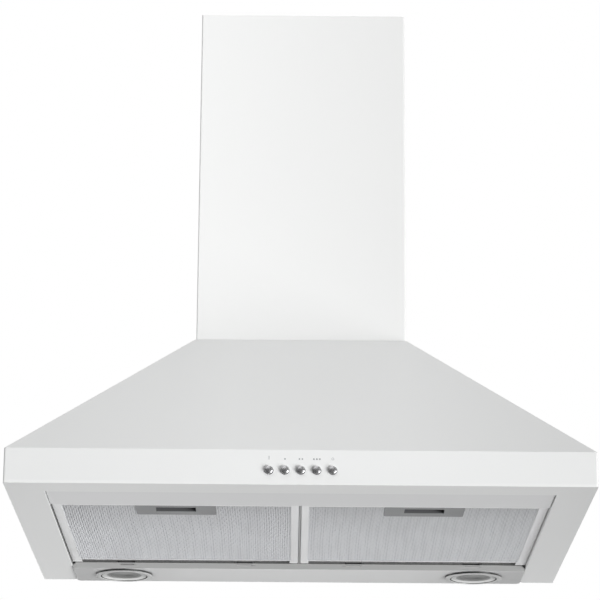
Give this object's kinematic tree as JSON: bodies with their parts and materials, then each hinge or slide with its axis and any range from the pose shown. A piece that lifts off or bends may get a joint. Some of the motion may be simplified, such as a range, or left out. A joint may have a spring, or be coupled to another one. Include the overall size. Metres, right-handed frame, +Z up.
{
  "type": "chimney range hood",
  "caption": "Wall-mounted pyramid canopy with a telescopic chimney, push buttons on the front band, tip-down grease filters, lamps, fan and duct flaps.",
  "frame": {"origin": "wall plane at the centre of the hood, level with the underside of the rim flange", "axes": "+X to the right seen from the front, +Y towards the wall, +Z up"},
  "size_m": [0.6, 0.5038, 0.6195],
  "materials": {
    "white_enamel": "smooth satin-gloss white enamel on sheet steel",
    "zinc_steel": "galvanised sheet",
    "bright_steel": "drawn wire and ground shaft",
    "lamp_chrome": "polished chrome trim",
    "lamp_glass": "frosted pressed glass",
    "lamp_can": "bright reflector",
    "bulb_glass": "clear glass",
    "filter_aluminium": "satin anodised extrusion",
    "filter_mesh": "expanded mesh",
    "latch_grey": "fine texture, grey",
    "latch_dark": "fine texture, dark grey",
    "black_plastic": "moulded, matt",
    "grey_foam": "closed-cell foam strip",
    "button_chrome": "polished",
    "brass_tabs": "stamped tabs",
    "motor_paint": "dark grey cast housing",
    "capacitor_case": "plain moulded case"
  },
  "bodies": {
    "hood": {"canopy": "white_enamel", "back_plate": "white_enamel", "front_cover": "white_enamel", "cover_nuts": "zinc_steel", "lamp_panel": "white_enamel", "lamp_panel_screws": "zinc_steel", "lamp_trim_left": "lamp_chrome", "lamp_glass_left": "lamp_glass", "lamp_holder_left": "lamp_can", "lamp_bulb_left": "bulb_glass", "lamp_trim_right": "lamp_chrome", "lamp_glass_right": "lamp_glass", "lamp_holder_right": "lamp_can", "lamp_bulb_right": "bulb_glass", "switch_housing": "black_plastic", "switch_terminals": "brass_tabs", "switch_springs": "bright_steel", "chimney_lower": "white_enamel", "chimney_screws": "zinc_steel", "wall_bracket_lower": "zinc_steel", "blower_housing": "zinc_steel", "blower_side_left": "zinc_steel", "blower_side_right": "zinc_steel", "blower_mounts": "zinc_steel", "blower_screws": "zinc_steel", "motor_body": "motor_paint", "motor_bracket": "zinc_steel", "inlet_grille_left": "zinc_steel", "inlet_grille_right": "zinc_steel", "outlet_collar": "black_plastic", "flap_pin": "zinc_steel", "junction_box": "black_plastic", "junction_box_lid": "black_plastic", "junction_box_screws": "zinc_steel", "cable_gland": "black_plastic", "motor_capacitor": "capacitor_case", "lamp_transformer": "capacitor_case", "filter_divider": "filter_aluminium", "seal_strip": "grey_foam"},
    "button_1": {"button_1": "button_chrome"},
    "button_2": {"button_2": "button_chrome"},
    "button_3": {"button_3": "button_chrome"},
    "button_4": {"button_4": "button_chrome"},
    "button_5": {"button_5": "button_chrome"},
    "filter_left": {"filter_frame_left": "filter_aluminium", "filter_mesh_left": "filter_mesh", "latch_plate_left": "latch_grey", "latch_spring_left": "bright_steel"},
    "latch_left": {"latch_slide_left": "latch_dark"},
    "filter_right": {"filter_frame_right": "filter_aluminium", "filter_mesh_right": "filter_mesh", "latch_plate_right": "latch_grey", "latch_spring_right": "bright_steel"},
    "latch_right": {"latch_slide_right": "latch_dark"},
    "chimney_extension": {"chimney_upper": "white_enamel", "wall_bracket_upper": "zinc_steel"},
    "fan": {"impeller": "black_plastic", "motor_shaft": "bright_steel"},
    "flap_left": {"flap_left": "black_plastic"},
    "flap_right": {"flap_right": "black_plastic"}
  },
  "joints": [
    {"name": "button_1_push", "type": "slide", "parent": "hood", "child": "button_1", "axis": [0, 1, 0], "range_m": [0, 0.0035], "stiffness_N_per_m": 500, "springref_m": -0.002, "deforming": ["switch_springs"]},
    {"name": "button_2_push", "type": "slide", "parent": "hood", "child": "button_2", "axis": [0, 1, 0], "range_m": [0, 0.0035], "stiffness_N_per_m": 500, "springref_m": -0.002, "deforming": ["switch_springs"]},
    {"name": "button_3_push", "type": "slide", "parent": "hood", "child": "button_3", "axis": [0, 1, 0], "range_m": [0, 0.0035], "stiffness_N_per_m": 500, "springref_m": -0.002, "deforming": ["switch_springs"]},
    {"name": "button_4_push", "type": "slide", "parent": "hood", "child": "button_4", "axis": [0, 1, 0], "range_m": [0, 0.0035], "stiffness_N_per_m": 500, "springref_m": -0.002, "deforming": ["switch_springs"]},
    {"name": "button_5_push", "type": "slide", "parent": "hood", "child": "button_5", "axis": [0, 1, 0], "range_m": [0, 0.0035], "stiffness_N_per_m": 500, "springref_m": -0.002, "deforming": ["switch_springs"]},
    {"name": "filter_left_tip", "type": "hinge", "parent": "hood", "child": "filter_left", "pos_m": [-0.1308, -0.0835, 0.006], "axis": [1, 0, 0], "range_deg": [0, 60]},
    {"name": "latch_left_slide", "type": "slide", "parent": "filter_left", "child": "latch_left", "axis": [0, 1, 0], "range_m": [0, 0.007], "stiffness_N_per_m": 300, "springref_m": -0.003, "deforming": ["latch_spring_left"]},
    {"name": "filter_right_tip", "type": "hinge", "parent": "hood", "child": "filter_right", "pos_m": [0.1308, -0.0835, 0.006], "axis": [1, 0, 0], "range_deg": [0, 60]},
    {"name": "latch_right_slide", "type": "slide", "parent": "filter_right", "child": "latch_right", "axis": [0, 1, 0], "range_m": [0, 0.007], "stiffness_N_per_m": 300, "springref_m": -0.003, "deforming": ["latch_spring_right"]},
    {"name": "chimney_extension_slide", "type": "slide", "parent": "hood", "child": "chimney_extension", "axis": [0, 0, 1], "range_m": [0, 0.3]},
    {"name": "fan_spin", "type": "hinge", "parent": "hood", "child": "fan", "pos_m": [0, -0.118, 0.19], "axis": [1, 0, 0], "continuous": true},
    {"name": "flap_left_swing", "type": "hinge", "parent": "hood", "child": "flap_left", "pos_m": [0, -0.14, 0.321], "axis": [0, 1, 0], "range_deg": [0, 75]},
    {"name": "flap_right_swing", "type": "hinge", "parent": "hood", "child": "flap_right", "pos_m": [0, -0.14, 0.321], "axis": [0, -1, 0], "range_deg": [0, 75]}
  ]
}
